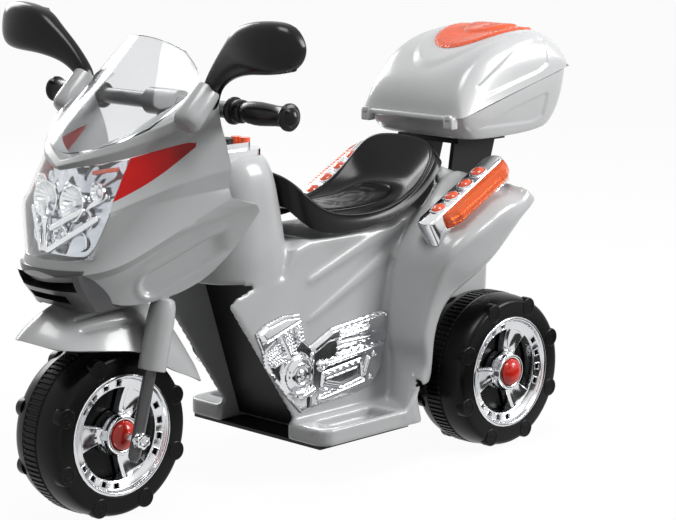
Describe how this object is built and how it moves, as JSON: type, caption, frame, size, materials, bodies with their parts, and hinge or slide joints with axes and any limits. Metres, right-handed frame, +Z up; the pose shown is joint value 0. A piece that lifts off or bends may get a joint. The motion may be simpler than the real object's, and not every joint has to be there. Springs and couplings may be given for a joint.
{
  "type": "motorized ride-on toy trike",
  "caption": "Battery ride-on toy trike: steered front wheel and fairing, bucket seat, rear wheels under panniers, and a lidded top box.",
  "frame": {"origin": "on the ground, under the middle of the trike's bounding box", "axes": "+X to the rider's left, -Y forward, +Z up"},
  "size_m": [0.4938, 0.8, 0.5501],
  "materials": {
    "silver_plastic": "glossy silver-grey moulded plastic",
    "black_matte": "dull black moulded plastic",
    "black_plastic": "satin black moulded plastic",
    "chrome_plastic": "bright plated plastic",
    "orange_plastic": "clear orange-red plastic",
    "steel": "plain steel",
    "fork_metal": "dark grey painted tube",
    "clear_plastic": "clear plastic",
    "red_plastic": "clear red plastic",
    "mirror_foil": "mirror foil"
  },
  "bodies": {
    "trike": {"body_shell": "silver_plastic", "rear_fender_left": "silver_plastic", "rear_fender_right": "silver_plastic", "well_liner": "black_matte", "floor_pan": "black_matte", "seat": "black_plastic", "console": "chrome_plastic", "console_knob": "black_matte", "console_buttons": "orange_plastic", "siren_left": "chrome_plastic", "siren_right": "chrome_plastic", "siren_lens_left": "orange_plastic", "siren_lens_right": "orange_plastic", "siren_buttons": "orange_plastic", "engine_trim_left": "chrome_plastic", "engine_trim_right": "chrome_plastic", "rear_axle": "steel", "gearbox": "black_matte", "box_tray": "silver_plastic", "box_bracket": "black_matte"},
    "steering": {"fork_tubes": "fork_metal", "fork_covers": "silver_plastic", "fork_crown": "fork_metal", "front_axle": "steel", "handlebar": "fork_metal", "grip_left": "black_plastic", "grip_right": "black_plastic", "front_fender": "silver_plastic", "fairing": "silver_plastic", "headlamp_lens": "clear_plastic", "headlamp_reflector": "chrome_plastic", "turn_lens_left": "red_plastic", "turn_lens_right": "red_plastic", "fairing_frame": "black_matte", "windscreen": "clear_plastic", "grille": "black_matte", "mirror_left": "black_plastic", "mirror_right": "black_plastic", "mirror_glass_left": "mirror_foil", "mirror_glass_right": "mirror_foil"},
    "front_wheel": {"front_tyre": "black_plastic", "front_rim_covers": "chrome_plastic", "front_hub_caps": "orange_plastic"},
    "rear_wheel_left": {"rear_tyre_left": "black_plastic", "rear_rim_cover_left": "chrome_plastic", "rear_hub_cap_left": "orange_plastic"},
    "rear_wheel_right": {"rear_tyre_right": "black_plastic", "rear_rim_cover_right": "chrome_plastic", "rear_hub_cap_right": "orange_plastic"},
    "lid": {"box_lid": "silver_plastic", "lid_lens": "orange_plastic"}
  },
  "joints": [
    {"name": "steering_turn", "type": "hinge", "parent": "trike", "child": "steering", "pos_m": [0, -0.22003, 0.33], "axis": [0, 0.2588, 0.9659], "range_deg": [-22, 22]},
    {"name": "front_wheel_spin", "type": "hinge", "parent": "steering", "child": "front_wheel", "pos_m": [0, -0.29, 0.095], "axis": [1, 0, 0], "continuous": true},
    {"name": "rear_wheel_left_spin", "type": "hinge", "parent": "trike", "child": "rear_wheel_left", "pos_m": [0.108, 0.232, 0.095], "axis": [1, 0, 0], "continuous": true},
    {"name": "rear_wheel_right_spin", "type": "hinge", "parent": "trike", "child": "rear_wheel_right", "pos_m": [-0.108, 0.232, 0.095], "axis": [1, 0, 0], "continuous": true},
    {"name": "lid_open", "type": "hinge", "parent": "trike", "child": "lid", "pos_m": [0, 0.2015, 0.401], "axis": [1, 0, 0], "range_deg": [0, 100]}
  ]
}
